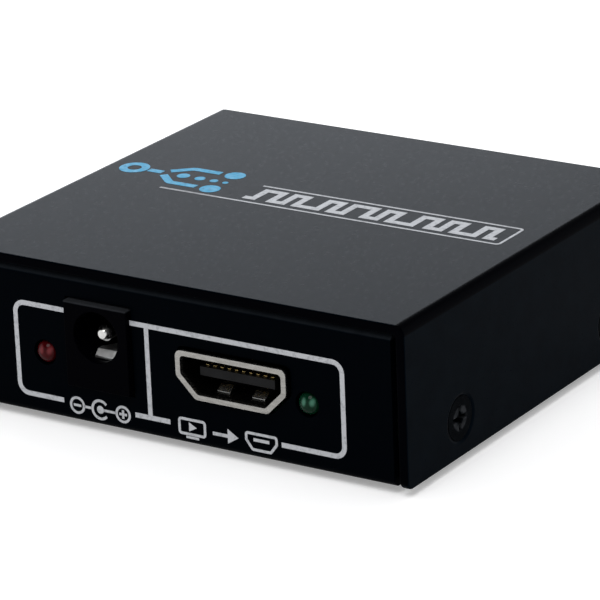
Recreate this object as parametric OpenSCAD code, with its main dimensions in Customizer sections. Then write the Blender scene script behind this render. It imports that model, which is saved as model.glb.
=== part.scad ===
// Small signal splitter box: one video input and a power inlet in front, two video outputs behind.
// Frame: origin under the middle of the box where the feet stand, +X to the right seen from the
// front, the front panel towards -Y, +Z up. Lengths are in millimetres.

/* [Case] */
// Width of the top cover
case_w = 65; // [64:1:90]
// Depth of the top cover, front edge to back edge
case_d = 60; // [58:1:90]
// Height of the case without its feet
case_h = 20; // [19:0.5:30]
// Thickness of the cover's sheet
cover_t = 1.2; // [0.8:0.1:1.4]
// Inside radius of the cover's two bends
cover_bend_in_r = 0.1; // [0.1:0.1:2.5]
// Gap between the cover's walls and the tray's side flanges
flange_gap = 0.15; // [0.05:0.05:0.4]
// Gap between the cover's walls and the ends of the front and back panels
panel_end_gap = 0.8; // [0.2:0.1:1]
// Radius of the lower corners of the cover's two sides
cover_corner_r = 1.2; // [0.6:0.1:2.5]

/* [Base tray] */
// Thickness of the tray's sheet
tray_t = 1.0; // [0.6:0.1:1.2]
// Inside radius of the tray's bends
tray_bend_in_r = 0.1; // [0.1:0.1:1.4]
// Depth of the panels behind the cover's edges
panel_recess = 0.3; // [0:0.1:0.5]
// Depth of the lip that is folded back along the top of each panel
panel_lip_d = 5; // [2:0.5:8]
// Height of the side flanges
flange_h = 9; // [8:0.5:14]
// Gap between a side flange's end and the panel beside it
flange_relief = 1.5; // [1:0.5:5]
// Gap left round each port in its panel
port_gap = 0.25; // [0.1:0.05:0.4]

/* [Circuit board] */
// Thickness of the board
board_t = 1.6; // [1:0.2:1.6]
// Height of the board's standoffs above the tray
standoff_h = 2.3; // [2:0.1:4]
// Gap between the board's edge and the panels
board_edge_gap = 0.5; // [0.3:0.1:1]
// Distance of the board's screws from its side edges and from the sockets' contacts
board_screw_inset = 3.4; // [3:0.1:4]

/* [Video sockets] */
// Width of a socket's mouth
mouth_w = 14.0; // [13.9:0.05:14.2]
// Height of a socket's mouth
mouth_h = 4.55; // [4.5:0.05:4.7]
// Size of the cut across the mouth's two lower corners
mouth_cut = 2.3; // [2:0.1:2.5]
// Thickness of a socket's shell
shell_t = 0.3; // [0.2:0.05:0.4]
// Width of the flat rim round the mouth
rim_w = 0.65; // [0.4:0.05:0.8]
// Length of a socket's shell from mouth to back
shell_d = 12; // [11.5:0.5:14]
// Height of a socket's shell above the board
shell_lift = 1.8; // [1:0.05:2]
// Distance that the sockets and the jack stand out of the case
port_proud = 0.5; // [0.1:0.1:0.6]
// Place of the input socket across the front, as a share of the case's width
input_place_share = 0.139; // [0.11:0.001:0.17]
// Place of output socket 1 across the back
output_1_place_share = 0.218; // [0.21:0.001:0.23]
// Place of output socket 2 across the back
output_2_place_share = -0.158; // [-0.17:0.001:-0.15]
// Width of the tongue inside a socket
tongue_w = 10.4; // [10:0.1:11]
// Thickness of the tongue
tongue_t = 1.1; // [0.9:0.1:1.2]
// Depth of the tongue's tip behind the mouth
tongue_set = 1.5; // [1.2:0.1:2]
// Distance between neighbouring contacts on one side of the tongue
contact_pitch = 1.0; // [0.98:0.01:1.02]
// Width of one spring finger
finger_w = 1.8; // [1.4:0.1:2.2]
// Length of one spring finger
finger_len = 5.6; // [5:0.1:6]
// Distance of each spring finger from the socket's middle
finger_x = 2.45; // [2.2:0.05:3.3]

/* [Power jack] */
// Place of the power jack across the front, as a share of the case's width
jack_place_share = -0.153; // [-0.16:0.001:-0.145]
// Width of the jack's housing
jack_w = 9; // [8.6:0.1:9.4]
// Height of the jack's housing
jack_h = 10.8; // [10.5:0.1:11.5]
// Depth of the jack's housing
jack_d = 14.2; // [13.5:0.1:15]
// Diameter of the jack's bore
jack_bore_dia = 6.4; // [6.2:0.1:6.6]
// Height of the bore's middle above the board
jack_bore_h = 6.75; // [6.3:0.05:6.8]
// Diameter of the jack's centre pin
jack_pin_dia = 2.0; // [1.6:0.1:2.5]
// Depth of the pin's tip behind the jack's face
jack_pin_set = 1.3; // [1:0.1:2]

/* [Lights] */
// Diameter of a light's lens
lens_dia = 3; // [2.6:0.1:3.2]
// Length of a light's lens, dome included
lens_len = 5.3; // [4.5:0.1:6]
// Distance that a light stands out of its panel
lens_proud = 0.5; // [0:0.1:0.5]
// Height of a light's middle above the board
lens_h = 3.3; // [3:0.05:4]
// Distance of the power light from the jack's middle
power_light_step = 8.15; // [7:0.05:10]
// Distance of each signal light from its socket's middle
signal_light_step = 10; // [9.8:0.1:11]

/* [Fasteners and feet] */
// Shank diameter of the case screws
screw_dia = 3; // [2.5:0.1:3.1]
// Head diameter of the case screws
screw_head_dia = 5.5; // [5:0.1:5.6]
// Length of the case screws, head included
screw_len = 4; // [3.8:0.1:4.2]
// Height of the case screws above the case's underside
screw_h = 4.8; // [4.6:0.1:5.2]
// Distance of the case screws from the middle of the case's depth
screw_y = 18; // [14:0.5:22]
// Diameter of a rubber foot
foot_dia = 8; // [6:0.5:10]
// Height of a rubber foot
foot_h = 1; // [0.8:0.1:3]
// Distance of a foot's middle from the case's sides and ends
foot_inset = 7; // [6:0.5:10]

/* [Hidden] */

// Roundness of holes, pins and bends
round_fn = 64;
$fn = round_fn;
// Overrun of every cut past the face that it opens
over = 0.5;
// Gap round a piece that sits in a hole or a slot of the same body
seat_gap = 0.03;

// Heights of the main levels, from where the feet stand
case_z = foot_h;
tray_top_z = case_z + tray_t;
board_z = tray_top_z + standoff_h;
board_top_z = board_z + board_t;
screw_z = case_z + screw_h;

// Places of the ports and lights across the case
input_x = input_place_share * case_w;
output_1_x = output_1_place_share * case_w;
output_2_x = output_2_place_share * case_w;
jack_x = jack_place_share * case_w;
power_light_x = jack_x - power_light_step;

// Outside radii of the bends
cover_bend_r = cover_t + cover_bend_in_r;
tray_bend_r = tray_t + tray_bend_in_r;

// Outline of the tray
panel_y = case_d / 2 - panel_recess;
panel_in_y = panel_y - tray_t;
panel_w = case_w - 2 * (cover_t + panel_end_gap);
lip_gap = 0.15;
tray_h = case_h - cover_t - lip_gap;
flange_out_x = case_w / 2 - cover_t - flange_gap;
flange_len = 2 * (panel_in_y - flange_relief);
collar_len = 1.2;
collar_wall = 0.9;

// Outline of the board
screw_tip_x = case_w / 2 - screw_len;
board_tip_gap = 0.7;
board_w = 2 * (screw_tip_x - board_tip_gap);
board_d = 2 * (panel_in_y - board_edge_gap);
board_screw_dia = 2.5;
board_hole_gap = 0.25;
board_head_dia = 4.6;
board_head_h = 1.4;
board_slot_gap = 0.15;
pin_reach = 0.8;

// Section of a socket's shell, and its levels above the socket's own middle
shell_w = mouth_w + 2 * shell_t;
shell_h = mouth_h + 2 * shell_t;
shell_cut = mouth_cut + shell_t / 2;
rim_cut = mouth_cut + rim_w / 2;
rim_t = 0.4;
mouth_corner_r = 0.5;
rim_corner_r = 0.8;
socket_z = board_top_z + shell_lift + shell_h / 2;
board_drop = shell_lift + shell_h / 2;
leg_w = 1.2;
leg_places_share = [0.3, 0.86];

// Insulator and contacts of a socket
tongue_rise = 0.2;
block_set_share = 0.75;
block_gap = 0.1;
back_wall_t = 1.2;
contact_w = 0.45;
contact_t = 0.12;
contact_set = 0.6;
contact_foot = 1.0;
upper_contacts = 10;
lower_contacts = 9;

// Depth of the board's free middle, between the sockets in front and behind
free_d = board_d - 2 * (shell_d + back_wall_t + contact_foot + contact_t);
board_screw_x = board_w / 2 - board_screw_inset;
board_screw_y = free_d / 2 - board_screw_inset;

// Spring fingers of a socket, seen from the side: the root lies behind, the tip near the mouth
finger_root_y = shell_d * 0.64;
finger_gap = 0.1;
finger_crest = 0.75;
finger_tip_rise = 0.12;
finger_crest_share = 0.78;

// Power jack, from its face and the board's top
jack_flange_d = 3.4;
jack_back_w = 8.0;
jack_bore_d = 9.6;
jack_bore_r = jack_bore_dia / 2;
jack_pin_r = jack_pin_dia / 2;
jack_pin_tip_r = jack_pin_r * 0.55;
jack_pin_tip_len = 0.6;
jack_shank_r = jack_pin_r * 1.3;
leaf_w = 3.2;
leaf_t = 0.3;
leaf_side_gap = 0.25;
leaf_root_y = 9.4;
leaf_root_h = 2.85;
leaf_crest_y = 2.9;
leaf_crest_h = 4.4;
leaf_tip_y = 1.9;
leaf_tip_h = 3.7;
leaf_slot_floor = 1.15;
leaf_slot_front = 1.2;
terminal_w = 2.6;
terminal_t = 0.5;
leaf_root_gap = 0.15;
leaf_terminal_y = leaf_root_y + leaf_root_gap + terminal_t / 2;
leaf_slot_back = leaf_terminal_y + terminal_t;

// Lights
lens_r = lens_dia / 2;
lens_hole_gap = 0.1;
lens_flange_r = lens_r + 0.35 * lens_r;
lens_flange_t = 0.8;
lead_w = 0.5;
lead_step = 2.54;
lead_back = 1.2;

// Small parts on the board
chip_w = 10;
chip_t = 1.4;
chip_lift = 0.1;
chip_pitch = 0.5;
chip_side_pins = 16;
chip_pin_w = 0.22;
pin_t = 0.15;
pin_out = 1.0;
pin_foot = 0.5;
memory_w = 4.9;
memory_d = 3.9;
memory_t = 1.5;
memory_pitch = 1.27;
memory_side_pins = 4;
memory_pin_w = 0.42;
regulator_w = 6.5;
regulator_d = 3.5;
regulator_t = 1.6;
regulator_pitch = 2.3;
regulator_pin_w = 0.75;
regulator_tab_w = 3.0;
crystal_w = 11.3;
crystal_d = 4.6;
crystal_h = 3.6;
crystal_rim = 0.4;
crystal_rim_t = 0.5;
can_dia = 5;
can_h = 5.4;
can_base_t = 0.8;
can_groove_h = 1.6;
can_groove_d = 0.25;
inductor_w = 5;
inductor_h = 3;
inductor_cut = 1;
chip_part_w = 1.6;
chip_part_d = 0.8;
chip_part_t = 0.8;
resistor_t = 0.45;
// Places on the board, as shares of its width and of its free middle's depth
chip_place_share = [-0.04, 0];
memory_places_share = [[0.29, -0.2], [0.29, 0.2]];
regulator_place_share = [-0.25, 0.24];
inductor_place_share = [-0.25, -0.24];
crystal_place_share = [0.165, 0];
can_places_share = [[-0.4, 0], [0.41, 0]];
row_places_share = [-0.13, -0.07, -0.01, 0.05];
capacitor_rows_share = [-0.4, 0.4];
resistor_rows_share = [-0.46, 0.46];

// Colours
black_coat = [0.13, 0.13, 0.14];
black_plastic = [0.05, 0.05, 0.055];
board_green = [0.03, 0.27, 0.12];
steel = [0.72, 0.72, 0.7];
dark_steel = [0.12, 0.12, 0.13];
gold = [0.83, 0.66, 0.3];
tin = [0.78, 0.78, 0.8];

// Extrudes an outline drawn in X and Z along the whole of Y, centred
module along_y(len) {
    rotate([90, 0, 0]) linear_extrude(height = len, center = true) children();
}

// Extrudes an outline drawn in Y and Z along the whole of X, centred
module along_x(len) {
    rotate([90, 0, 90]) linear_extrude(height = len, center = true) children();
}

// Extrudes an outline drawn in X and Z from one depth to another
module between_y(from, to) {
    translate([0, to, 0]) rotate([90, 0, 0]) linear_extrude(height = to - from) children();
}

// A block from its lowest to its highest corner
module block(low, high) {
    translate(low) cube(high - low);
}

// Rectangle with four rounded corners, centred
module rounded_rect(w, h, r) {
    square([w - 2 * r, h], center = true);
    square([w, h - 2 * r], center = true);
    for (sx = [-1, 1], sy = [-1, 1])
        translate([sx * (w / 2 - r), sy * (h / 2 - r)]) circle(r = r);
}

// Flat-footed arch of width w and height h, its two upper corners rounded
module arch(w, h, r) {
    translate([-w / 2, 0]) square([w, h - r]);
    translate([-w / 2 + r, 0]) square([w - 2 * r, h]);
    for (s = [-1, 1]) translate([s * (w / 2 - r), h - r]) circle(r = r);
}

// Copies what follows at each of four corners
module four_corners(x, y) {
    for (sx = [-1, 1], sy = [-1, 1]) translate([sx * x, sy * y, 0]) children();
}

// Points of a corner rounded to radius r, coming from point a, turning at b, leaving to c
function corner_points(a, b, c, r, steps) = let (
    u = (a - b) / norm(a - b),
    v = (c - b) / norm(c - b),
    half = acos(u * v) / 2,
    mid = b + (u + v) / norm(u + v) * r / sin(half),
    start = b + u * r / tan(half) - mid,
    turn = (u[0] * v[1] - u[1] * v[0] > 0 ? -1 : 1) * (180 - 2 * half)
) [for (i = [0:steps]) let (t = turn * i / steps)
    mid + [start[0] * cos(t) - start[1] * sin(t), start[0] * sin(t) + start[1] * cos(t)]];

// Outline of a socket: wide above, its lower corners cut off, every corner rounded
module socket_outline(w, h, cut, r) {
    p = [[-w / 2, h / 2], [w / 2, h / 2], [w / 2, cut - h / 2], [w / 2 - cut, -h / 2],
        [cut - w / 2, -h / 2], [-w / 2, cut - h / 2]];
    n = len(p);
    polygon([for (i = [0:n - 1])
        each corner_points(p[(i + n - 1) % n], p[i], p[(i + 1) % n], r, 4)]);
}

// Places a port's own frame on the front: X across, Y into the case from the port's face
module on_front(x, z) {
    translate([x, -case_d / 2 - port_proud, z]) children();
}

// The same on the back, turned to face backwards
module on_back(x, z) {
    translate([x, case_d / 2 + port_proud, z]) rotate([0, 0, 180]) children();
}

// Copies what follows to the input socket and both output sockets
module at_sockets(z) {
    on_front(input_x, z) children();
    on_back(output_1_x, z) children();
    on_back(output_2_x, z) children();
}

// Copies what follows to the four lights, from each light's place on the panel's outside
module at_lights(z) {
    translate([power_light_x, -panel_y, z]) children();
    translate([input_x + signal_light_step, -panel_y, z]) children();
    translate([output_1_x - signal_light_step, panel_y, z]) rotate([0, 0, 180]) children();
    translate([output_2_x - signal_light_step, panel_y, z]) rotate([0, 0, 180]) children();
}

// Top and both sides, bent from one sheet, with a countersink for each case screw
csk_r = screw_head_dia / 2 + 0.07 * screw_head_dia / 2;
csk_hole_r = csk_r - cover_t;
module top_cover() {
    color(black_coat) difference() {
        translate([0, 0, case_z]) along_y(case_d) difference() {
            arch(case_w, case_h, cover_bend_r);
            translate([0, -over])
                arch(case_w - 2 * cover_t, case_h - cover_t + over, cover_bend_in_r);
        }
        for (s = [-1, 1]) translate([0, s * case_d / 2, case_z]) along_x(case_w + 2 * over)
            lower_corner_cut(-s);
        for (s = [-1, 1], y = [-screw_y, screw_y])
            translate([s * (case_w / 2 + over), y, screw_z]) rotate([0, -90 * s, 0]) {
                cylinder(h = cover_t + over, r1 = csk_r + over, r2 = csk_hole_r);
                cylinder(h = cover_t + 2 * over, r = csk_hole_r);
            }
    }
}

// What is cut off a side's lower corner that points away from side s, from the corner inwards
module lower_corner_cut(s) {
    r = cover_corner_r;
    difference() {
        translate([s * (r - over) / 2, (r - over) / 2]) square(r + over, center = true);
        translate([s * r, r]) circle(r = r);
    }
}

// Bottom, front and back panels, bent from one sheet, with side flanges tapped for the case screws
module base_tray() {
    color(black_coat) difference() {
        union() {
            translate([0, 0, case_z + tray_h / 2]) along_x(panel_w) panel_outline();
            translate([0, 0, case_z]) along_y(flange_len) flange_outline();
            for (s = [-1, 1], y = [-screw_y, screw_y])
                translate([s * (flange_out_x - tray_t / 2), y, screw_z]) rotate([0, -90 * s, 0])
                    cylinder(h = collar_len + tray_t / 2, r = screw_dia / 2 + collar_wall);
        }
        for (s = [-1, 1], y = [-screw_y, screw_y])
            translate([s * (flange_out_x + over), y, screw_z]) rotate([0, -90 * s, 0])
                cylinder(h = tray_t + collar_len + 2 * over, r = screw_dia / 2 + seat_gap);
        four_corners(board_screw_x, board_screw_y) translate([0, 0, case_z - over])
            cylinder(h = tray_t + 2 * over, r = standoff_shank_r + seat_gap);
        panel_cuts();
    }
}

// The tray seen from its side: a closed frame, open between its two upper lips
module panel_outline() {
    open_d = 2 * (panel_y - panel_lip_d);
    difference() {
        rounded_rect(2 * panel_y, tray_h, tray_bend_r);
        rounded_rect(2 * panel_in_y, tray_h - 2 * tray_t, tray_bend_in_r);
        translate([-open_d / 2, 0]) square([open_d, tray_h]);
    }
}

// The tray seen from its front: bottom and two side flanges
module flange_outline() {
    out_w = 2 * flange_out_x;
    difference() {
        translate([0, flange_h]) mirror([0, 1]) arch(out_w, flange_h, tray_bend_r);
        translate([0, flange_h + over]) mirror([0, 1])
            arch(out_w - 2 * tray_t, flange_h - tray_t + over, tray_bend_in_r);
    }
}

// Openings in the front and back panels for the ports and lights
module panel_cuts() {
    deep = port_proud + panel_recess + tray_t + over;
    at_sockets(socket_z) between_y(-over, deep)
        socket_outline(mouth_w + 2 * (rim_w + port_gap), mouth_h + 2 * (rim_w + port_gap),
            rim_cut + port_gap / 2, rim_corner_r);
    on_front(jack_x, board_top_z) between_y(-over, deep)
        translate([-jack_w / 2 - port_gap, -port_gap]) square([jack_w + 2 * port_gap,
            jack_h + 2 * port_gap]);
    at_lights(board_top_z + lens_h) rotate([-90, 0, 0]) translate([0, 0, -over])
        cylinder(h = tray_t + 2 * over, r = lens_r + lens_hole_gap);
}

// Countersunk case screws with a cross recess, two on each side
screw_sink = 0.12;
recess_w = 0.6;
recess_len_share = 0.56;
recess_d = 1.1;
module case_screws() {
    head_len = screw_head_dia / 2 - screw_dia / 2;
    color(dark_steel) for (s = [-1, 1], y = [-screw_y, screw_y])
        translate([s * (case_w / 2 - screw_sink), y, screw_z]) rotate([0, -90 * s, 0])
            difference() {
                union() {
                    cylinder(h = head_len, r1 = screw_head_dia / 2, r2 = screw_dia / 2);
                    cylinder(h = screw_len - screw_sink, r = screw_dia / 2);
                }
                cross_recess(screw_head_dia * recess_len_share, recess_w, recess_d);
            }
}

// Cross-shaped cut that opens at height zero
module cross_recess(len, w, d) {
    for (a = [0, 90]) rotate([0, 0, a])
        block([-len / 2, -w / 2, -over], [len / 2, w / 2, d]);
}

// Stick-on feet under the tray's corners
foot_rim = 0.3;
module rubber_feet() {
    x = case_w / 2 - foot_inset;
    y = case_d / 2 - foot_inset;
    color([0.04, 0.04, 0.04]) four_corners(x, y) {
        cylinder(h = foot_rim, r1 = foot_dia / 2 - foot_rim, r2 = foot_dia / 2);
        translate([0, 0, foot_rim]) cylinder(h = foot_h - foot_rim, r = foot_dia / 2);
    }
}

// Board with its screw holes and the slots and holes of every part that is soldered through it
module circuit_board() {
    color(board_green) difference() {
        translate([-board_w / 2, -board_d / 2, board_z]) cube([board_w, board_d, board_t]);
        four_corners(board_screw_x, board_screw_y) translate([0, 0, board_z - over])
            cylinder(h = board_t + 2 * over, r = board_screw_dia / 2 + board_hole_gap);
        at_sockets(board_z) shell_leg_places() through_slot(shell_t, leg_w);
        on_front(jack_x, board_z) terminal_places() through_slot(terminal_w, terminal_t);
        at_lights(board_z) lead_places() through_slot(lead_w, lead_w);
    }
}

// Slot through the board for a leg that is w across and d deep
module through_slot(w, d) {
    g = board_slot_gap;
    block([-w / 2 - g, -d / 2 - g, -over], [w / 2 + g, d / 2 + g, board_t + over]);
}

// Standoffs pressed into the tray
standoff_dia = 5.5;
standoff_shank_r = 2.1;
module board_standoffs() {
    color(tin) four_corners(board_screw_x, board_screw_y) difference() {
        union() {
            translate([0, 0, tray_top_z]) cylinder(h = standoff_h, r = standoff_dia / 2, $fn = 6);
            translate([0, 0, case_z]) cylinder(h = tray_t, r = standoff_shank_r);
        }
        translate([0, 0, case_z - over])
            cylinder(h = tray_t + standoff_h + 2 * over, r = board_screw_dia / 2 + seat_gap);
    }
}

// Pan-head screws that hold the board down
module board_screws() {
    reach = board_t + standoff_h + tray_t / 2;
    color(steel) four_corners(board_screw_x, board_screw_y) difference() {
        translate([0, 0, board_top_z]) {
            cylinder(h = board_head_h, r = board_head_dia / 2);
            translate([0, 0, -reach]) cylinder(h = reach, r = board_screw_dia / 2);
        }
        translate([0, 0, board_top_z + board_head_h]) mirror([0, 0, 1])
            cross_recess(board_head_dia * recess_len_share, recess_w, board_head_h / 2);
    }
}

// Copies what follows to a shell's four legs
module shell_leg_places() {
    for (s = [-1, 1], share = leg_places_share)
        translate([s * (shell_w - shell_t) / 2, share * shell_d, 0]) children();
}

// Folded metal shell with a flat rim, windows for the spring fingers and four legs
module socket_shell() {
    tip_y = finger_root_y - finger_len;
    color(steel) difference() {
        union() {
            between_y(0, shell_d) socket_outline(shell_w, shell_h, shell_cut, rim_corner_r);
            between_y(0, rim_t) socket_outline(mouth_w + 2 * rim_w, mouth_h + 2 * rim_w,
                rim_cut, rim_corner_r);
            shell_leg_places() block([-shell_t / 2, -leg_w / 2, -board_drop - board_t - pin_reach],
                [shell_t / 2, leg_w / 2, 0]);
        }
        between_y(-over, shell_d + over)
            socket_outline(mouth_w, mouth_h, mouth_cut, mouth_corner_r);
        for (s = [-1, 1])
            block([s * finger_x - finger_w / 2 - finger_gap, tip_y - finger_gap, -shell_h],
                [s * finger_x + finger_w / 2 + finger_gap, finger_root_y + finger_gap, shell_h]);
    }
}

// Side view of a spring finger above a wall whose inner face is at height zero
module finger_outline() {
    tip = finger_root_y - finger_len;
    crest = finger_root_y - finger_len * finger_crest_share;
    t = shell_t;
    polygon([[finger_root_y, -t], [finger_root_y, 0], [crest + t, finger_crest],
        [crest - t, finger_crest], [tip, finger_tip_rise], [tip, finger_tip_rise - t],
        [crest - t, finger_crest - t], [crest + t, finger_crest - t]]);
}

// Two spring fingers in the lower wall of a socket
module lower_springs() {
    color(steel) for (s = [-1, 1]) translate([s * finger_x, 0, -mouth_h / 2])
        along_x(finger_w) finger_outline();
}

// Two spring fingers in the upper wall
module upper_springs() {
    mirror([0, 0, 1]) lower_springs();
}

// Moulded tongue, back block and base of a socket, with a channel for each contact
module socket_insulator() {
    low = tongue_rise - tongue_t / 2;
    block_y = shell_d * block_set_share;
    back_y = shell_d + back_wall_t;
    w = mouth_w - 2 * block_gap;
    color(black_plastic) difference() {
        union() {
            block([-tongue_w / 2, tongue_set, low], [tongue_w / 2, shell_d, low + tongue_t]);
            between_y(block_y, shell_d) socket_outline(w, mouth_h - 2 * block_gap,
                mouth_cut, mouth_corner_r);
            block([-w / 2, shell_d, -board_drop], [w / 2, back_y, mouth_h / 2]);
            block([-base_half_w, finger_root_y + finger_gap, -board_drop],
                [base_half_w, back_y, -shell_h / 2]);
        }
        contact_row(upper_contacts) block([-contact_w / 2 - seat_gap, block_y - over, low + tongue_t],
            [contact_w / 2 + seat_gap, back_y + over, low + tongue_t + contact_t + seat_gap]);
        contact_row(lower_contacts)
            block([-contact_w / 2 - seat_gap, block_y - over, low - contact_t - seat_gap],
                [contact_w / 2 + seat_gap, back_y + over, low]);
    }
}
base_half_w = mouth_w / 2 - mouth_cut;

// Copies what follows to each contact of a row
module contact_row(count) {
    for (i = [0:count - 1]) translate([(i - (count - 1) / 2) * contact_pitch, 0, 0]) children();
}

// One contact seen from its side: along the tongue, down behind the back wall, out along the board
module contact_outline(z) {
    back = shell_d + back_wall_t + seat_gap;
    front = tongue_set + contact_set;
    t = contact_t;
    foot = back + t + contact_foot;
    polygon([[front, z], [front, z + t], [back + t, z + t], [back + t, t - board_drop],
        [foot, t - board_drop], [foot, -board_drop], [back, -board_drop], [back, z]]);
}

// Ten contacts on top of the tongue and nine below it
module socket_contacts() {
    low = tongue_rise - tongue_t / 2;
    color(gold) {
        contact_row(upper_contacts) along_x(contact_w) contact_outline(low + tongue_t);
        contact_row(lower_contacts) along_x(contact_w) contact_outline(low - contact_t);
    }
}

module input_socket_shell() { on_front(input_x, socket_z) socket_shell(); }
module input_socket_insulator() { on_front(input_x, socket_z) socket_insulator(); }
module input_socket_contacts() { on_front(input_x, socket_z) socket_contacts(); }
module input_upper_springs() { on_front(input_x, socket_z) upper_springs(); }
module input_lower_springs() { on_front(input_x, socket_z) lower_springs(); }
module output_1_socket_shell() { on_back(output_1_x, socket_z) socket_shell(); }
module output_1_socket_insulator() { on_back(output_1_x, socket_z) socket_insulator(); }
module output_1_socket_contacts() { on_back(output_1_x, socket_z) socket_contacts(); }
module output_1_upper_springs() { on_back(output_1_x, socket_z) upper_springs(); }
module output_1_lower_springs() { on_back(output_1_x, socket_z) lower_springs(); }
module output_2_socket_shell() { on_back(output_2_x, socket_z) socket_shell(); }
module output_2_socket_insulator() { on_back(output_2_x, socket_z) socket_insulator(); }
module output_2_socket_contacts() { on_back(output_2_x, socket_z) socket_contacts(); }
module output_2_upper_springs() { on_back(output_2_x, socket_z) upper_springs(); }
module output_2_lower_springs() { on_back(output_2_x, socket_z) lower_springs(); }

// Moulded housing of the power jack: a square front block, a round-topped body and a leaf slot
module jack_housing() {
    back_r = jack_back_w / 2;
    color(black_plastic) on_front(jack_x, board_top_z) difference() {
        union() {
            block([-jack_w / 2, 0, 0], [jack_w / 2, jack_flange_d, jack_h]);
            block([-back_r, 0, 0], [back_r, jack_d, jack_bore_h]);
            jack_axis(0) cylinder(h = jack_d, r = back_r);
        }
        jack_axis(-over) cylinder(h = jack_bore_d + over, r = jack_bore_r);
        jack_axis(0) cylinder(h = jack_d + over, r = jack_shank_r + seat_gap);
        block([-leaf_w / 2 - leaf_side_gap, leaf_slot_front, leaf_slot_floor],
            [leaf_w / 2 + leaf_side_gap, leaf_slot_back, jack_bore_h]);
        terminal_places() block([-terminal_w / 2 - seat_gap, -terminal_t / 2 - seat_gap, -over],
            [terminal_w / 2 + seat_gap, terminal_t / 2 + seat_gap, leaf_slot_floor + over]);
    }
}

// Turns what follows so that its Z runs into the jack along the bore's middle
module jack_axis(from) {
    translate([0, from, jack_bore_h]) rotate([-90, 0, 0]) children();
}

// Copies what follows to the two terminals that pass straight down through the board
module terminal_places() {
    for (y = [leaf_terminal_y, jack_d + terminal_t / 2 + seat_gap])
        translate([0, y, 0]) children();
}

// Centre pin with a tapered tip, and the blade that carries it down behind the housing
module jack_centre_pin() {
    color(steel) on_front(jack_x, board_top_z) {
        jack_axis(jack_pin_set) cylinder(h = jack_pin_tip_len, r1 = jack_pin_tip_r, r2 = jack_pin_r);
        jack_axis(jack_pin_set + jack_pin_tip_len)
            cylinder(h = jack_bore_d - jack_pin_set - jack_pin_tip_len, r = jack_pin_r);
        jack_axis(jack_bore_d) cylinder(h = jack_d + seat_gap - jack_bore_d, r = jack_shank_r);
        translate([0, jack_d + terminal_t / 2 + seat_gap, 0])
            block([-terminal_w / 2, -terminal_t / 2, -board_t - pin_reach],
                [terminal_w / 2, terminal_t / 2, jack_bore_h + jack_pin_r]);
    }
}

// Leaf spring that presses on the plug's sleeve from below
module jack_leaf_spring() {
    t = leaf_t;
    color(steel) on_front(jack_x, board_top_z) along_x(leaf_w)
        polygon([[leaf_root_y, leaf_root_h], [leaf_root_y, leaf_root_h + t],
            [leaf_crest_y + t, leaf_crest_h], [leaf_crest_y - t, leaf_crest_h],
            [leaf_tip_y, leaf_tip_h], [leaf_tip_y, leaf_tip_h - t],
            [leaf_crest_y - t, leaf_crest_h - t], [leaf_crest_y + t, leaf_crest_h - t]]);
}

// Fixed terminal that the leaf spring leans on
module jack_terminals() {
    y = leaf_terminal_y;
    color(steel) on_front(jack_x, board_top_z)
        block([-terminal_w / 2, y - terminal_t / 2, -board_t - pin_reach],
            [terminal_w / 2, y + terminal_t / 2, leaf_root_h + leaf_t]);
}

// Lens of a light with its dome and its flange, and the two leads that carry it
module light_lens(tint) {
    dome_y = lens_r - lens_proud;
    end_y = lens_len - lens_proud;
    color(tint) {
        translate([0, dome_y, 0]) sphere(r = lens_r);
        translate([0, dome_y, 0]) rotate([-90, 0, 0]) cylinder(h = end_y - dome_y, r = lens_r);
        translate([0, end_y - lens_flange_t, 0]) rotate([-90, 0, 0])
            cylinder(h = lens_flange_t, r = lens_flange_r);
    }
}

// Copies what follows to a light's two leads
module lead_places() {
    for (s = [-1, 1])
        translate([s * lead_step / 2, lens_len - lens_proud + lead_back - lead_w / 2, 0]) children();
}

module light_leads() {
    drop = lens_h + board_t + pin_reach;
    h = lead_w / 2;
    color(tin) lead_places() {
        block([-h, h - lead_back, -h], [h, h, h]);
        block([-h, -h, -drop], [h, h, h]);
    }
}

red_lens = [0.5, 0.04, 0.05];
green_lens = [0.05, 0.4, 0.15];
light_z = board_top_z + lens_h;
module front_light(x) { translate([x, -panel_y, light_z]) children(); }
module back_light(x) { translate([x, panel_y, light_z]) rotate([0, 0, 180]) children(); }
module power_light_lens() { front_light(power_light_x) light_lens(red_lens); }
module power_light_leads() { front_light(power_light_x) light_leads(); }
module signal_light_lens() { front_light(input_x + signal_light_step) light_lens(green_lens); }
module signal_light_leads() { front_light(input_x + signal_light_step) light_leads(); }
module output_1_light_lens() { back_light(output_1_x - signal_light_step) light_lens(green_lens); }
module output_1_light_leads() { back_light(output_1_x - signal_light_step) light_leads(); }
module output_2_light_lens() { back_light(output_2_x - signal_light_step) light_lens(green_lens); }
module output_2_light_leads() { back_light(output_2_x - signal_light_step) light_leads(); }

// Places what follows on the board's top, by a share of the board's free middle
module on_board(share) {
    translate([share[0] * board_w, share[1] * free_d, board_top_z]) children();
}

// Body of a chip, a little above the board
module chip_body(w, d, t) {
    translate([-w / 2, -d / 2, chip_lift]) cube([w, d, t]);
}

// One bent chip pin, from the body's side at X zero out and down to the board
module bent_pin(w, mid) {
    t = pin_t;
    rotate([90, 0, 0]) linear_extrude(height = w, center = true)
        polygon([[0, mid], [0, mid + t], [pin_foot + t, mid + t], [pin_foot + t, t],
            [pin_out, t], [pin_out, 0], [pin_foot, 0], [pin_foot, mid]]);
}

// A row of bent pins along the side of a chip at X half_w
module pin_row(count, pitch, w, half_w, mid) {
    for (i = [0:count - 1])
        translate([half_w, (i - (count - 1) / 2) * pitch, 0]) bent_pin(w, mid);
}

module splitter_chip() {
    color(black_plastic) on_board(chip_place_share) chip_body(chip_w, chip_w, chip_t);
}

module splitter_chip_pins() {
    color(tin) on_board(chip_place_share) for (a = [0:90:270]) rotate([0, 0, a])
        pin_row(chip_side_pins, chip_pitch, chip_pin_w, chip_w / 2, chip_t / 2);
}

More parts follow.
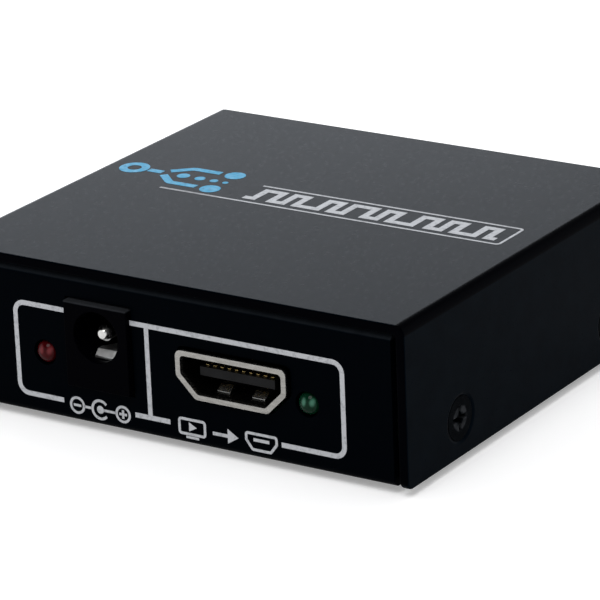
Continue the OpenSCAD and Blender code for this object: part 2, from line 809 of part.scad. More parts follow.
module memory_chips() {
    color(black_plastic) for (place = memory_places_share) on_board(place)
        chip_body(memory_d, memory_w, memory_t);
}

module memory_chip_pins() {
    color(tin) for (place = memory_places_share) on_board(place) for (a = [0, 180])
        rotate([0, 0, a]) pin_row(memory_side_pins, memory_pitch, memory_pin_w,
            memory_d / 2, memory_t / 2);
}

module voltage_regulator() {
    color(black_plastic) on_board(regulator_place_share)
        chip_body(regulator_d, regulator_w, regulator_t);
}

module regulator_pins() {
    color(tin) on_board(regulator_place_share) {
        pin_row(3, regulator_pitch, regulator_pin_w, regulator_d / 2, regulator_t / 2);
        rotate([0, 0, 180]) pin_row(1, regulator_pitch, regulator_tab_w, regulator_d / 2,
            regulator_t / 2);
    }
}

// Oval can of the crystal on its flat rim
module clock_crystal() {
    color(tin) on_board(crystal_place_share) rotate([0, 0, 90]) {
        linear_extrude(height = crystal_rim_t) oval(crystal_w, crystal_d);
        linear_extrude(height = crystal_h)
            oval(crystal_w - 2 * crystal_rim, crystal_d - 2 * crystal_rim);
    }
}

module oval(w, d) {
    square([w - d, d], center = true);
    for (s = [-1, 1]) translate([s * (w - d) / 2, 0]) circle(d = d);
}

// Round capacitor cans, grooved near the foot
module filter_capacitors() {
    color([0.7, 0.7, 0.72]) for (place = can_places_share) on_board(place)
        translate([0, 0, can_base_t]) difference() {
            cylinder(h = can_h, r = can_dia / 2);
            translate([0, 0, can_groove_h]) difference() {
                cylinder(h = 2 * can_groove_d, r = can_dia / 2 + over);
                cylinder(h = 2 * can_groove_d, r = can_dia / 2 - can_groove_d);
            }
        }
}

module capacitor_bases() {
    color(black_plastic) for (place = can_places_share) on_board(place)
        translate([-can_dia / 2, -can_dia / 2, 0]) cube([can_dia, can_dia, can_base_t]);
}

// Shielded coil of the power supply, its corners cut
module power_inductor() {
    w = inductor_w / 2;
    c = inductor_w / 2 - inductor_cut;
    color([0.18, 0.18, 0.19]) on_board(inductor_place_share) linear_extrude(height = inductor_h)
        polygon([[c, -w], [w, -c], [w, c], [c, w], [-c, w], [-w, c], [-w, -c], [-c, -w]]);
}

module ceramic_capacitors() {
    color([0.62, 0.5, 0.36]) for (x = row_places_share, y = capacitor_rows_share)
        on_board([x, y]) chip_part(chip_part_t);
}

module chip_resistors() {
    color([0.08, 0.08, 0.09]) for (x = row_places_share, y = resistor_rows_share)
        on_board([x, y]) chip_part(resistor_t);
}

module chip_part(t) {
    translate([-chip_part_w / 2, -chip_part_d / 2, 0]) cube([chip_part_w, chip_part_d, t]);
}

top_cover();
base_tray();
case_screws();
rubber_feet();
circuit_board();
board_standoffs();
board_screws();
input_socket_shell();
input_socket_insulator();
input_socket_contacts();
input_upper_springs();
input_lower_springs();
output_1_socket_shell();
output_1_socket_insulator();
output_1_socket_contacts();
output_1_upper_springs();
output_1_lower_springs();
output_2_socket_shell();
output_2_socket_insulator();
output_2_socket_contacts();
output_2_upper_springs();
output_2_lower_springs();
jack_housing();
jack_centre_pin();
jack_leaf_spring();
jack_terminals();
power_light_lens();
power_light_leads();
signal_light_lens();
signal_light_leads();
output_1_light_lens();
output_1_light_leads();
output_2_light_lens();
output_2_light_leads();
splitter_chip();
splitter_chip_pins();
memory_chips();
memory_chip_pins();
voltage_regulator();
regulator_pins();
clock_crystal();
filter_capacitors();
capacitor_bases();
power_inductor();
ceramic_capacitors();
chip_resistors();
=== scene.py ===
"""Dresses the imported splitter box: camera, materials, prints, floor and light."""
import math

import bmesh
import bpy
from mathutils import Matrix, Vector

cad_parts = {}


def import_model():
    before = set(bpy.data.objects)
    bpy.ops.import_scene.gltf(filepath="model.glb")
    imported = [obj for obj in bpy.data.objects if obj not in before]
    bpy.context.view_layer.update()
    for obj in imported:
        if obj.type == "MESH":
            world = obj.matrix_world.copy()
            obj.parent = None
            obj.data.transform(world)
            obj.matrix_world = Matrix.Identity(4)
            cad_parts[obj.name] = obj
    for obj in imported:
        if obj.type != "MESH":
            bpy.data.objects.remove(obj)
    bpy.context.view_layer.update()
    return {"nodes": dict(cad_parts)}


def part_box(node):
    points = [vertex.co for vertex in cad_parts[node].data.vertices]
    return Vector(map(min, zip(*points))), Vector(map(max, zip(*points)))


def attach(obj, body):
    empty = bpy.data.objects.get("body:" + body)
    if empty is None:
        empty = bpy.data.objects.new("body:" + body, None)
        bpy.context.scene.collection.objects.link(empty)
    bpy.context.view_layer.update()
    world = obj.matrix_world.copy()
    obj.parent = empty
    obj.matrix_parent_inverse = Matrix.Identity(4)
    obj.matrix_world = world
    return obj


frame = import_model()
nodes = frame["nodes"]
mm = 0.001


def place_object(name, data):
    obj = bpy.data.objects.new(name, data)
    bpy.context.scene.collection.objects.link(obj)
    return obj


# Camera
# Its place, angles and lens were fitted to the edges of the box in the photo.

camera_place = (0.251259, -0.381806, 0.175252)
camera_yaw = 33.4516
camera_pitch = -19.9730
camera_roll = -2.3059
camera_lens = 237.42


def photo_camera():
    yaw, pitch, roll = (math.radians(a) for a in (camera_yaw, camera_pitch, camera_roll))
    level = Vector((-math.sin(yaw), math.cos(yaw), 0))
    forward = math.cos(pitch) * level + math.sin(pitch) * Vector((0, 0, 1))
    right = Vector((math.cos(yaw), math.sin(yaw), 0))
    up = right.cross(forward)
    across = math.cos(roll) * right + math.sin(roll) * up
    upward = -math.sin(roll) * right + math.cos(roll) * up
    data = bpy.data.cameras.new("photo_camera")
    data.sensor_width = 36
    data.lens = camera_lens
    data.clip_start = 0.01
    data.clip_end = 50
    cam = place_object("photo_camera", data)
    turn = Matrix((across, upward, -forward)).transposed().to_4x4()
    cam.matrix_world = Matrix.Translation(camera_place) @ turn
    bpy.context.scene.camera = cam


photo_camera()

# Materials

looks = {}


class Tree:
    """Short ways to add nodes to a node tree."""

    def __init__(self, tree):
        self.tree = tree

    def add(self, kind, **values):
        """A new node; each value goes to its setting, or else to its input."""
        node = self.tree.nodes.new(kind)
        for key, value in values.items():
            if hasattr(node, key):
                setattr(node, key, value)
            else:
                node.inputs[key.replace("_", " ")].default_value = value
        return node

    def join(self, a, b):
        self.tree.links.new(a, b)

    def calc(self, operation, *values):
        """One step of arithmetic on outputs of other nodes and plain numbers."""
        node = self.add("ShaderNodeMath", operation=operation)
        for socket, value in zip(node.inputs, values):
            if isinstance(value, (int, float)):
                socket.default_value = value
            else:
                self.join(value, socket)
        return node.outputs[0]

    def ramp(self, fac, stops):
        """The colour at the factor, between stops of place and colour."""
        node = self.add("ShaderNodeValToRGB")
        points = node.color_ramp.elements
        while len(points) < len(stops):
            points.new(0.5)
        for point, (at, colour) in zip(points, stops):
            point.position = at
            point.color = (*colour, 1)
        self.join(fac, node.inputs["Fac"])
        return node.outputs["Color"]


class Shader(Tree):
    """A material, kept in looks by its name. All its detail follows the object's coordinates."""

    def __init__(self, name):
        self.mat = bpy.data.materials.new(name)
        self.mat.use_nodes = True
        super().__init__(self.mat.node_tree)
        self.bsdf = next(n for n in self.tree.nodes if n.type == "BSDF_PRINCIPLED")
        self.place = self.add("ShaderNodeTexCoord").outputs["Object"]
        looks[name] = self.mat

    def set(self, **values):
        for key, value in values.items():
            self.bsdf.inputs[key.replace("_", " ")].default_value = value

    def axes(self):
        """The three coordinates, in metres."""
        parts = self.add("ShaderNodeSeparateXYZ")
        self.join(self.place, parts.inputs[0])
        return parts.outputs

    def distance(self, coordinates, centre):
        """How far the point is from the centre, over the axes that the coordinates name."""
        spot = self.add("ShaderNodeCombineXYZ")
        for axis, value in coordinates.items():
            self.join(value, spot.inputs[axis])
        away = self.add("ShaderNodeVectorMath", operation="DISTANCE")
        self.join(spot.outputs[0], away.inputs[0])
        away.inputs[1].default_value = centre
        return away.outputs["Value"]

    def fade(self, value, none, full, most):
        """Goes smoothly from 0, where the value is none, to most, where it is full."""
        node = self.add("ShaderNodeMapRange", interpolation_type="SMOOTHSTEP")
        for key, number in (("From Min", none), ("From Max", full), ("To Min", 0.0), ("To Max", most)):
            node.inputs[key].default_value = number
        self.join(value, node.inputs["Value"])
        return node.outputs["Result"]

    def noise(self, per_mm, detail, stretch=(1, 1, 1)):
        """Noise with the given number of features to a millimetre."""
        spot = self.place
        if stretch != (1, 1, 1):
            mapping = self.add("ShaderNodeMapping", Scale=stretch)
            self.join(spot, mapping.inputs["Vector"])
            spot = mapping.outputs["Vector"]
        node = self.add("ShaderNodeTexNoise", Scale=per_mm * 1000, Detail=detail, Roughness=0.55)
        self.join(spot, node.inputs["Vector"])
        return node.outputs["Fac"]

    def colours(self, fac, stops):
        self.join(self.ramp(fac, stops), self.bsdf.inputs["Base Color"])

    def roughness(self, fac, low, high):
        """Spreads the middle of a noise from the low to the high roughness."""
        node = self.add("ShaderNodeMapRange")
        for key, number in (("From Min", 0.3), ("From Max", 0.7), ("To Min", low), ("To Max", high)):
            node.inputs[key].default_value = number
        self.join(fac, node.inputs["Value"])
        self.join(node.outputs["Result"], self.bsdf.inputs["Roughness"])

    def bump(self, fac, strength, depth_mm):
        node = self.add("ShaderNodeBump", Strength=strength, Distance=depth_mm * mm)
        self.join(fac, node.inputs["Height"])
        self.join(node.outputs["Normal"], self.bsdf.inputs["Normal"])


# Widths of the painted shade on the cover's bends and cut ends.
cover_bend = 1.2 * mm
cut_edge = 0.1 * mm


def coat(name, dark, light, shaded_edge, gloss, rough):
    """Fine black powder coat, with painted shade on the cover's cut ends and its two bends."""
    s = Shader(name)
    point = s.axes()
    side, end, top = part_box("top_cover")[1]
    at_side = s.calc("GREATER_THAN", s.calc("ABSOLUTE", point["X"]), side - cover_bend)
    at_top = s.calc("GREATER_THAN", point["Z"], top - cover_bend)
    at_end = s.calc("GREATER_THAN", s.calc("ABSOLUTE", point["Y"]), end - cut_edge)
    # Painted shade: the cover's two side bends and its cut front and back ends take the near-black edge
    # colour.
    painted_shade = s.calc("MAXIMUM", s.calc("MULTIPLY", at_side, at_top), at_end)
    patch = s.calc("SUBTRACT", s.noise(0.35, 4), painted_shade)
    s.colours(patch, [(0.0, shaded_edge), (0.1, dark), (0.35, dark), (0.7, light)])
    s.roughness(s.noise(2.4, 3), rough - 0.03, rough + 0.04)
    s.bump(s.noise(5.0, 3), 0.12, 0.012)
    s.set(Specular_IOR_Level=gloss)


def coat_with_painted_highlight(name, node, highlight_from, highlight_at, dark, light, painted_highlight, gloss, rough, grain):
    """Black finish with a painted highlight: grey in patches from the first given depth below the node's
    top, fully by the second, and up to the top.
    """
    s = Shader(name)
    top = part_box(node)[1][2]
    # Painted highlight: a grey band along the top of the front panel's bend, or along the top edge of the
    # jack housing.
    highlight_band = s.fade(s.axes()["Z"], top - highlight_from, top - highlight_at, 0.62)
    patch = s.calc("MULTIPLY_ADD", s.noise(0.6, 4), 0.3, highlight_band)
    s.colours(patch, [(0.16, dark), (0.40, light), (0.95, painted_highlight)])
    s.roughness(s.noise(grain / 2, 3), rough - 0.04, rough + 0.04)
    s.bump(s.noise(grain, 3), 0.13, 0.012)
    s.set(Specular_IOR_Level=gloss)


def screw_coat(name, dark, light, painted_highlight):
    """Black screw with a painted highlight: a grey ring round each recess."""
    s = Shader(name)
    low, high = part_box("case_screws")
    head_r = (high[2] - low[2]) / 2
    point = s.axes()
    centre = (0, high[1] - head_r, low[2] + head_r)
    away = s.distance({"Y": s.calc("ABSOLUTE", point["Y"]), "Z": point["Z"]}, centre)
    # Painted highlight: a grey ring on the head, about 1.15 mm from the middle of the recess.
    from_ring = s.calc("ABSOLUTE", s.calc("SUBTRACT", away, 1.15 * mm))
    highlight_ring = s.fade(from_ring, 0.6 * mm, 0.2 * mm, 0.45)
    patch = s.calc("MULTIPLY_ADD", s.noise(1.1, 3), 0.8, highlight_ring)
    s.colours(patch, [(0.3, dark), (0.56, light), (0.95, painted_highlight)])
    s.roughness(s.noise(3.0, 3), 0.18, 0.3)
    s.bump(s.noise(4.0, 2), 0.1, 0.004)
    s.set(Specular_IOR_Level=0.005)


def plastic(name, dark, light, rough, grain, bump, gloss):
    s = Shader(name)
    s.colours(s.noise(0.5, 3), [(0.3, dark), (0.7, light)])
    s.roughness(s.noise(grain, 3), rough - 0.06, rough + 0.08)
    s.bump(s.noise(grain * 2, 2), bump, 0.015)
    s.set(Specular_IOR_Level=gloss)


def metal(name, dark, light, rough, stretch=(1, 1, 1)):
    s = Shader(name)
    s.colours(s.noise(0.8, 4, stretch), [(0.3, dark), (0.7, light)])
    s.roughness(s.noise(3.0, 3, stretch), rough - 0.06, rough + 0.1)
    s.bump(s.noise(4.0, 2, stretch), 0.10, 0.003)
    s.set(Metallic=1.0)


def shell_metal(name, dark, light, inner, rough):
    """Nickel plate, bright at the folded mouth, with painted shade further in."""
    s = Shader(name)
    drawn = (1, 1, 5)
    mouth_y = abs(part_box("input_socket_shell")[0][1])
    depth = s.calc("ABSOLUTE", s.axes()["Y"])
    # Painted shade: deeper than the mouth, the plate turns to the inner colour, far darker than the nickel.
    mouth = s.fade(depth, mouth_y - 1.0 * mm, mouth_y - 0.25 * mm, 0.6)
    patch = s.calc("MULTIPLY_ADD", s.noise(0.8, 4, drawn), 0.4, mouth)
    s.colours(patch, [(0.30, inner), (0.70, dark), (0.88, light)])
    s.roughness(s.noise(3.0, 3, drawn), rough - 0.06, rough + 0.1)
    s.bump(s.noise(4.0, 2, drawn), 0.10, 0.003)
    s.set(Metallic=1.0)


def lens(light_name, dark, bright, posts):
    """Tinted epoxy with the paler shapes of the two lead posts inside its upper half."""
    s = Shader(f"{light_name}_lens")
    low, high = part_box(f"{light_name}_light_lens")
    slimness = 1.6
    middle_x = (low[0] + high[0]) / 2 + 0.3 * mm
    post = (0.5 * mm * slimness, 0, (low[2] + high[2]) / 2 + 0.4 * mm)
    point = s.axes()
    aside = s.calc("ABSOLUTE", s.calc("SUBTRACT", point["X"], middle_x))
    away = s.distance({"X": s.calc("MULTIPLY", aside, slimness), "Z": point["Z"]}, post)
    near_post = s.fade(away, 0.75 * mm, 0.1 * mm, 0.6)
    cloud = s.calc("MULTIPLY_ADD", s.noise(0.7, 2), 0.5, near_post)
    s.colours(cloud, [(0.15, dark), (0.36, bright), (0.85, posts)])
    s.roughness(s.noise(1.5, 2), 0.05, 0.14)
    s.bump(s.noise(0.8, 1), 0.05, 0.02)
    s.set(Transmission_Weight=0.06, IOR=1.5, Specular_IOR_Level=0.07)


def ink(name, dark, light):
    """Screen ink that follows the coat's grain and is a little thin in places."""
    s = Shader(name)
    s.colours(s.noise(2.2, 5), [(0.25, dark), (0.5, light)])
    s.roughness(s.noise(1.6, 3), 0.5, 0.68)
    s.bump(s.noise(3.6, 3), 0.2, 0.02)
    s.set(Specular_IOR_Level=0.3)


def board_mask(name):
    """Green solder mask with faint copper tracks under it."""
    s = Shader(name)
    brick = s.add("ShaderNodeTexBrick", Scale=380.0, Mortar_Size=0.06, offset=0.37)
    brick.inputs["Color1"].default_value = (0.004, 0.05, 0.016, 1)
    brick.inputs["Color2"].default_value = (0.006, 0.075, 0.024, 1)
    brick.inputs["Mortar"].default_value = (0.012, 0.13, 0.045, 1)
    s.join(s.place, brick.inputs["Vector"])
    s.join(brick.outputs["Color"], s.bsdf.inputs["Base Color"])
    s.roughness(s.noise(1.0, 3), 0.28, 0.42)
    s.bump(brick.outputs["Fac"], 0.2, 0.03)


# The cover's edge colour is painted shade on its bends and cut ends.
coat("cover_coat", dark=(0.0004, 0.0017, 0.0034), light=(0.0010, 0.0028, 0.0049),
     shaded_edge=(0.0001, 0.0002, 0.0008), gloss=0.0075, rough=0.30)
# The grey top bands of the tray and the jack housing are painted highlights.
coat_with_painted_highlight("tray_coat", "base_tray", 0.86 * mm, 0.56 * mm, dark=(0.0001, 0.0006, 0.0014),
       light=(0.0003, 0.0011, 0.0022), painted_highlight=(0.0100, 0.0120, 0.0145), gloss=0.008, rough=0.32, grain=5.0)
coat_with_painted_highlight("housing_black", "jack_housing", 0.36 * mm, 0.12 * mm, dark=(0.0003, 0.0003, 0.0008),
       light=(0.0006, 0.0006, 0.0014), painted_highlight=(0.026, 0.028, 0.031), gloss=0.008, rough=0.30, grain=2.8)
# The screws' grey ring colour is a painted highlight.
screw_coat("screw_black", dark=(0.0002, 0.0007, 0.0014), light=(0.0010, 0.0018, 0.0028),
           painted_highlight=(0.026, 0.028, 0.031))
plastic("rubber", (0.010, 0.010, 0.010), (0.022, 0.022, 0.022), 0.75, grain=1.0, bump=0.3, gloss=0.3)
plastic("tongue_grey", (0.004, 0.004, 0.0045), (0.009, 0.009, 0.0095), 0.4, grain=1.4, bump=0.1, gloss=0.12)
plastic("chip_black", (0.010, 0.010, 0.011), (0.020, 0.020, 0.021), 0.5, grain=2.2, bump=0.2, gloss=0.5)
plastic("ferrite", (0.035, 0.035, 0.038), (0.06, 0.06, 0.065), 0.7, grain=2.5, bump=0.35, gloss=0.4)
plastic("ceramic_tan", (0.33, 0.24, 0.14), (0.44, 0.33, 0.20), 0.55, grain=2.0, bump=0.1, gloss=0.4)
# The shells' inner colour is painted shade inside the sockets.
shell_metal("shell_nickel", dark=(0.30, 0.29, 0.27), light=(0.42, 0.41, 0.385),
            inner=(0.055, 0.052, 0.048), rough=0.26)
metal("nickel", (0.28, 0.275, 0.26), (0.40, 0.395, 0.375), 0.26, (1, 1, 5))
metal("bright_nickel", (0.66, 0.65, 0.63), (0.80, 0.79, 0.77), 0.18)
metal("satin_nickel", (0.62, 0.62, 0.61), (0.74, 0.74, 0.73), 0.42)
metal("steel", (0.50, 0.50, 0.49), (0.66, 0.66, 0.65), 0.28)
metal("gold", (0.74, 0.50, 0.17), (0.86, 0.63, 0.27), 0.22)
metal("tin", (0.56, 0.56, 0.57), (0.70, 0.70, 0.71), 0.36)
metal("can_skin", (0.60, 0.60, 0.61), (0.74, 0.74, 0.75), 0.3, (1, 1, 6))
ink("white_ink", (0.25, 0.26, 0.275), (0.43, 0.44, 0.46))
ink("grey_ink", (0.13, 0.135, 0.145), (0.28, 0.285, 0.30))
ink("cyan_ink", (0.010, 0.15, 0.28), (0.020, 0.30, 0.52))
board_mask("green_mask")
lens("power", (0.024, 0.0005, 0.001), (0.044, 0.001, 0.002), (0.13, 0.022, 0.025))
for green_light in ("signal", "output_1", "output_2"):
    lens(green_light, (0.0008, 0.012, 0.005), (0.0016, 0.023, 0.010), (0.05, 0.15, 0.10))

# CAD nodes


def weld(o, name):
    join = o.modifiers.new(name, "WELD")
    join.merge_threshold = 1e-6


def dress(name, look, edge_mm, segments=2, clamp=True):
    """Gives a CAD node its material, and rounds its edges by modifiers."""
    o = nodes[name]
    for part_slot in o.material_slots:
        part_slot.material = looks[look]
    weld(o, "weld")
    flat = o.modifiers.new("flat", "DECIMATE")
    flat.decimate_type = "DISSOLVE"
    flat.angle_limit = math.radians(0.5)
    bevel = o.modifiers.new("edges", "BEVEL")
    bevel.width = edge_mm * mm
    bevel.segments = segments
    bevel.limit_method = "ANGLE"
    bevel.angle_limit = math.radians(30)
    bevel.use_clamp_overlap = clamp
    weld(o, "weld_edges")
    weigh = o.modifiers.new("normals", "WEIGHTED_NORMAL")
    weigh.weight = 80


dress("top_cover", "cover_coat", 0.25, 3, clamp=False)
dress("base_tray", "tray_coat", 0.10, 3)
dress("case_screws", "screw_black", 0.07)
dress("rubber_feet", "rubber", 0.18, 3)
dress("circuit_board", "green_mask", 0.05)
dress("board_standoffs", "steel", 0.05)
dress("board_screws", "steel", 0.06)
for socket_name in ("input", "output_1", "output_2"):
    dress(f"{socket_name}_socket_shell", "shell_nickel", 0.07)
    dress(f"{socket_name}_socket_insulator", "tongue_grey", 0.06)
    dress(f"{socket_name}_socket_contacts", "gold", 0.03)
    dress(f"{socket_name}_upper_springs", "nickel", 0.05)
    dress(f"{socket_name}_lower_springs", "nickel", 0.05)
dress("jack_housing", "housing_black", 0.22, 3)
dress("jack_centre_pin", "bright_nickel", 0.08)
dress("jack_leaf_spring", "satin_nickel", 0.05)
dress("jack_terminals", "tin", 0.03)
for light_name in ("power", "signal", "output_1", "output_2"):
    dress(f"{light_name}_light_lens", f"{light_name}_lens", 0.05)
    dress(f"{light_name}_light_leads", "tin", 0.03)
dress("splitter_chip", "chip_black", 0.05)
dress("splitter_chip_pins", "tin", 0.02)
dress("memory_chips", "chip_black", 0.05)
dress("memory_chip_pins", "tin", 0.02)
dress("voltage_regulator", "chip_black", 0.06)
dress("regulator_pins", "tin", 0.03)
dress("clock_crystal", "steel", 0.10, 3)
dress("filter_capacitors", "can_skin", 0.12, 3)
dress("capacitor_bases", "chip_black", 0.06)
dress("power_inductor", "ferrite", 0.08)
dress("ceramic_capacitors", "ceramic_tan", 0.05)
dress("chip_resistors", "chip_black", 0.03)

# Prints
# A print is drawn in millimetres on a panel's own plane and made as a thin solid
# whose underside is sunk a hundredth of a millimetre in the coat.

ink_rise = 0.02
ink_sink = 0.01
line_w = 0.62
symbol_w = 0.32
front_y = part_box("base_tray")[0][1] / mm
case_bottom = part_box("base_tray")[0][2] / mm
top_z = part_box("top_cover")[1][2] / mm


def on_front(u, v, rise):
    return Vector((u, front_y - rise, case_bottom + v)) * mm


def on_back(u, v, rise):
    return Vector((-u, -front_y + rise, case_bottom + v)) * mm


def on_top(u, v, rise):
    return Vector((u, v, top_z + rise)) * mm


def rounded(points, radius, closed=False, steps=6):
    """The path with each inner corner turned into an arc."""
    pts = [Vector(p) for p in points]
    out = []
    n = len(pts)
    for i, p in enumerate(pts):
        if not closed and i in (0, n - 1):
            out.append(p)
            continue
        back = pts[i - 1] - p
        ahead = pts[(i + 1) % n] - p
        a = back.normalized()
        b = ahead.normalized()
        half = a.angle(b) / 2
        cut = min(radius / math.tan(half), back.length / 2.01, ahead.length / 2.01)
        r = cut * math.tan(half)
        middle = p + (a + b).normalized() * (r / math.sin(half))
        start = p + a * cut - middle
        end = p + b * cut - middle
        turn = math.atan2(start.x * end.y - start.y * end.x, start.dot(end))
        for k in range(steps + 1):
            c = math.cos(turn * k / steps)
            s = math.sin(turn * k / steps)
            out.append(middle + Vector((start.x * c - start.y * s, start.x * s + start.y * c)))
    return out


def stroke(points, width, closed=False):
    """Quads along a path, mitred where it turns."""
    pts = [Vector(p) for p in points]
    n = len(pts)
    left, right = [], []
    for i, p in enumerate(pts):
        back = pts[i - 1] if closed or i > 0 else None
        ahead = pts[(i + 1) % n] if closed or i < n - 1 else None
        d1 = (p - back).normalized() if back is not None else (ahead - p).normalized()
        d2 = (ahead - p).normalized() if ahead is not None else d1
        side = Vector((-(d1 + d2).y, (d1 + d2).x)).normalized()
        reach = width / 2 / max(0.4, side.dot(Vector((-d1.y, d1.x))))
        left.append(p + side * reach)
        right.append(p - side * reach)
    quads = []
    for i in range(n if closed else n - 1):
        j = (i + 1) % n
        quads.append([right[i], right[j], left[j], left[i]])
    return quads


def around(x, y, r, angles):
    return [Vector((x + r * math.cos(math.radians(a)), y + r * math.sin(math.radians(a)))) for a in angles]


def disc(x, y, r, steps=24):
    return [around(x, y, r, (360 * k / steps for k in range(steps)))]


def ring(x, y, r, width, start=0, end=360, steps=32):
    full = end - start >= 360
    count = max(8, round(steps * (end - start) / 360))
    marks = range(count if full else count + 1)
    return stroke(around(x, y, r, (start + (end - start) * k / count for k in marks)), width, closed=full)


def arrow(x0, x1, y, width, head):
    """A shaft with a solid head that points along +X to x1."""
    neck = x1 - head
    half = head * 0.62
    tip = [Vector((neck, y + half)), Vector((neck, y - half)), Vector((x1, y))]
    return stroke([(x0, y), (neck, y)], width) + [tip]


def print_piece(name, shapes, place, look="white_ink"):
    """One thin solid for each group of faces that share corners."""
    verts, faces, index, edges = [], [], {}, {}
    for shape in shapes:
        area = sum(a.x * b.y - a.y * b.x for a, b in zip(shape, shape[1:] + shape[:1]))
        if area < 0:
            shape = shape[::-1]
        corners = []
        for p in shape:
            key = (round(p.x, 4), round(p.y, 4))
            if key not in index:
                index[key] = len(verts)
                verts.append(p)
            corners.append(index[key])
        faces.append(corners)
        for a, b in zip(corners, corners[1:] + corners[:1]):
            edges[(a, b)] = True
    n = len(verts)
    bm = bmesh.new()
    made = [bm.verts.new(place(p.x, p.y, ink_rise)) for p in verts]
    made += [bm.verts.new(place(p.x, p.y, -ink_sink)) for p in verts]
    for ids in faces:
        bm.faces.new([made[i] for i in ids])
        bm.faces.new([made[i + n] for i in reversed(ids)])
    for a, b in edges:
        if (b, a) not in edges:
            bm.faces.new([made[b], made[a], made[a + n], made[b + n]])
    bmesh.ops.recalc_face_normals(bm, faces=bm.faces)
    mesh = bpy.data.meshes.new(name)
    bm.to_mesh(mesh)
    bm.free()
    piece = place_object(name, mesh)
    mesh.materials.append(looks[look])
    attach(piece, "case")


frame_low = 2.51
frame_high = 14.07
frame_r = 1.3
sign_y = 2.2


def divider(x):
    return stroke([(x, frame_high - line_w / 2), (x, frame_low + line_w / 2)], line_w)


def bar(x0, x1, y, width):
    return stroke([(x0, y), (x1, y)], width)


def front_prints():
    """Two joined frames, a polarity sign for the jack, and screen, arrow and socket for the input."""
    left, split, right = -22.16, -3.11, 23.92
    low, high, y = frame_low, frame_high, sign_y
    lines = stroke(rounded([(-14.9, high), (left, high), (left, low), (-15.7, low)], frame_r), line_w)
    lines += stroke(rounded([(-5.7, high), (right, high), (right, low), (15.3, low)], frame_r), line_w)
    lines += bar(-5.3, -0.3, low, line_w)
    print_piece("front_frame_print", lines, on_front)
    print_piece("front_divider_print", divider(split), on_front)
    power = ring(-13.75, y, 0.95, symbol_w) + bar(-14.3, -13.2, y, symbol_w)
    power += bar(-12.75, -11.75, y, symbol_w) + ring(-10.4, y, 1.15, 0.34, 40, 320) + disc(-10.4, y, 0.5)
    power += bar(-9.85, -8.1, y, symbol_w) + ring(-7.1, y, 0.95, symbol_w)
    power += bar(-7.65, -7.3, y, symbol_w) + bar(-6.9, -6.55, y, symbol_w)
    power += stroke([(-7.1, y - 0.55), (-7.1, y + 0.55)], symbol_w)
    print_piece("front_power_symbol", power, on_front)
    screen_edge = [(1.0, y - 0.75), (4.6, y - 0.75), (4.6, y + 1.1), (1.0, y + 1.1)]
    screen = stroke(rounded(screen_edge, 0.3, True, 3), 0.34, True) + bar(1.9, 3.7, y - 1.15, 0.3)
    screen += [[Vector((2.35, y + 0.75)), Vector((2.35, y - 0.4)), Vector((3.45, y + 0.17))]]
    port_edge = [(10.4, y + 1.0), (14.6, y + 1.0), (14.6, y + 0.1)]
    port_edge += [(13.75, y - 1.0), (11.25, y - 1.0), (10.4, y + 0.1)]
    port = stroke(rounded(port_edge, 0.25, True, 3), 0.34, True) + bar(11.4, 13.6, y + 0.25, 0.4)
    print_piece("front_input_symbol", screen + arrow(5.7, 9.3, y, 0.42, 1.5) + port, on_front)


def digit(which, x, y, h, width):
    if which == 1:
        return stroke([(x - 0.28 * h, y + 0.22 * h), (x, y + 0.5 * h), (x, y - 0.5 * h)], width)
    bow = around(x, y + 0.21 * h, 0.29 * h, range(170, -41, -30))
    return stroke(bow + [(x - 0.3 * h, y - 0.46 * h), (x + 0.34 * h, y - 0.46 * h)], width)


def back_prints():
    """Two joined frames, and an arrow and a number for each output."""
    low, high, half = frame_low, frame_high, 24.5
    path = [(-17.6, low), (-half, low), (-half, high), (half, high), (half, low), (13.7, low)]
    lines = stroke(rounded(path, frame_r), line_w) + bar(-10.8, 6.9, low, line_w)
    print_piece("back_frame_print", lines, on_back)
    print_piece("back_divider_print", divider(0), on_back)
    for number, u in ((1, -14.2), (2, 10.3)):
        marks = arrow(u - 2.6, u + 0.4, sign_y, 0.42, 1.4)
        marks += digit(number, u + 1.9, sign_y, 2.1, 0.38)
        print_piece(f"back_output_mark_{number}", marks, on_back)


def top_prints():
    """A branching line with dots, and a square wave in an outlined band."""
    w = 1.05
    tree = ring(-27.9, 4.1, 1.45, w) + bar(-25.7, -23.6, 4.1, w)
    tree += stroke(rounded([(-22.9, 4.9), (-20.6, 6.9), (-16.6, 6.9)], 1.0), w)
    tree += stroke(rounded([(-22.9, 3.3), (-20.6, 1.2), (-16.6, 1.2)], 1.0), w)
    tree += disc(-14.5, 6.9, 1.35) + disc(-14.5, 1.2, 1.35)
    for x, r in ((-20.4, 0.85), (-17.9, 0.7), (-15.8, 0.55), (-14.1, 0.4)):
        tree += disc(x, 4.05, r)
    print_piece("top_branch_print", tree, on_top, "cyan_ink")
    band = stroke(rounded([(-9.1, 5.1), (28.0, 5.1), (28.0, -1.0), (-12.0, -1.0)], 0.5, False, 4), 0.34)
    print_piece("top_band_outline", band, on_top)
    print_piece("top_band_tail", bar(-12.0, -20.5, -1.0, 0.42), on_top, "grey_ink")
    low, high = 0.5, 3.7
    x, level, other = -9.0, low, high
    wave = [(x, level)]
    for step in (1.4, 2.5, 1.8, 1.8, 3.2, 1.8, 1.8, 3.0, 1.8, 1.8, 3.2, 2.2, 1.8, 1.8, 2.9, 1.8):
        x += step
        wave += [(x, level), (x, other)]
        level, other = other, level
    wave.append((x + 1.2, level))
    print_piece("top_wave_print", stroke(wave, 0.95), on_top)


front_prints()
back_prints()
top_prints()

# Stage and light

floor_glow = 0.27


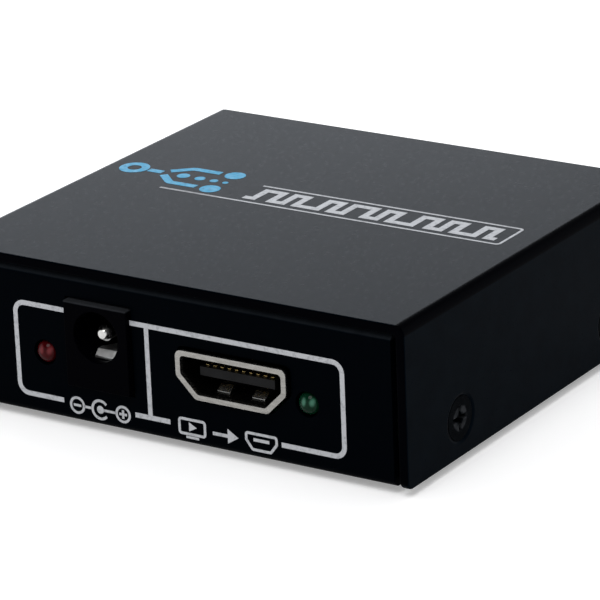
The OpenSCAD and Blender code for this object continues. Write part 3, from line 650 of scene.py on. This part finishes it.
def floor():
    mesh = bpy.data.meshes.new("floor")
    bm = bmesh.new()
    bmesh.ops.create_grid(bm, x_segments=1, y_segments=1, size=6)
    bm.to_mesh(mesh)
    bm.free()
    obj = place_object("floor", mesh)
    s = Shader("floor_paper")
    s.colours(s.noise(0.002, 2), [(0.3, (0.90, 0.90, 0.90)), (0.7, (0.92, 0.92, 0.92))])
    s.set(Roughness=0.9, Specular_IOR_Level=0.0, Emission_Color=(1, 1, 1, 1))
    path = s.add("ShaderNodeLightPath").outputs
    seen = s.calc("MAXIMUM", path["Is Camera Ray"], path["Is Transmission Ray"])
    s.join(s.calc("MULTIPLY", seen, floor_glow), s.bsdf.inputs["Emission Strength"])
    mesh.materials.append(s.mat)


def world():
    """White for the camera and glass, grey for diffuse light, and for gloss a sky darker overhead."""
    studio = bpy.data.worlds.new("studio")
    bpy.context.scene.world = studio
    studio.use_nodes = True
    t = Tree(studio.node_tree)
    t.tree.nodes.clear()
    path = t.add("ShaderNodeLightPath").outputs
    direction = t.add("ShaderNodeSeparateXYZ")
    t.join(t.add("ShaderNodeTexCoord").outputs["Generated"], direction.inputs[0])
    sky = t.ramp(direction.outputs["Z"], [(0.44, (0.93, 0.965, 1)), (0.56, (0.05, 0.05, 0.055))])
    plain = t.add("ShaderNodeBackground", Color=(0.66, 0.66, 0.67, 1))
    shine = t.add("ShaderNodeBackground")
    t.join(sky, shine.inputs["Color"])
    white = t.add("ShaderNodeBackground", Color=(1, 1, 1, 1))
    lit = t.add("ShaderNodeMixShader")
    t.join(path["Is Glossy Ray"], lit.inputs["Fac"])
    t.join(plain.outputs[0], lit.inputs[1])
    t.join(shine.outputs[0], lit.inputs[2])
    shown = t.add("ShaderNodeMixShader")
    t.join(t.calc("MAXIMUM", path["Is Camera Ray"], path["Is Transmission Ray"]), shown.inputs["Fac"])
    t.join(lit.outputs[0], shown.inputs[1])
    t.join(white.outputs[0], shown.inputs[2])
    out = t.add("ShaderNodeOutputWorld")
    t.join(shown.outputs[0], out.inputs["Surface"])


def aimed_lamp(name, kind, azimuth, elevation, away):
    """A lamp at a distance that faces the object; azimuth is from +X towards +Y."""
    obj = place_object(name, bpy.data.lights.new(name, kind))
    az, el = math.radians(azimuth), math.radians(elevation)
    aim = Vector((math.cos(az) * math.cos(el), math.sin(az) * math.cos(el), math.sin(el)))
    obj.location = aim * away
    obj.rotation_euler = aim.to_track_quat("Z", "Y").to_euler()
    return obj


def key_lamp(strength, spread):
    """A wide, even light from high in front, whose shadow falls behind the box."""
    data = aimed_lamp("key", "SUN", -80, 58, 0).data
    data.energy = strength
    data.angle = math.radians(spread)


def back_box(radiance, wide, tall):
    """A wide flat lamp, unseen by the camera, for the sheen along the back of the top."""
    obj = aimed_lamp("back_box", "AREA", 140, 15, 0.9)
    data = obj.data
    data.shape = "RECTANGLE"
    data.size = wide
    data.size_y = tall
    data.energy = radiance * math.pi * wide * tall
    data.color = (0.87, 0.92, 1)
    obj.visible_camera = False


floor()
world()
key_lamp(1.25, 32)
back_box(4.3, 0.86, 0.36)
bpy.context.scene.view_settings.view_transform = "Standard"
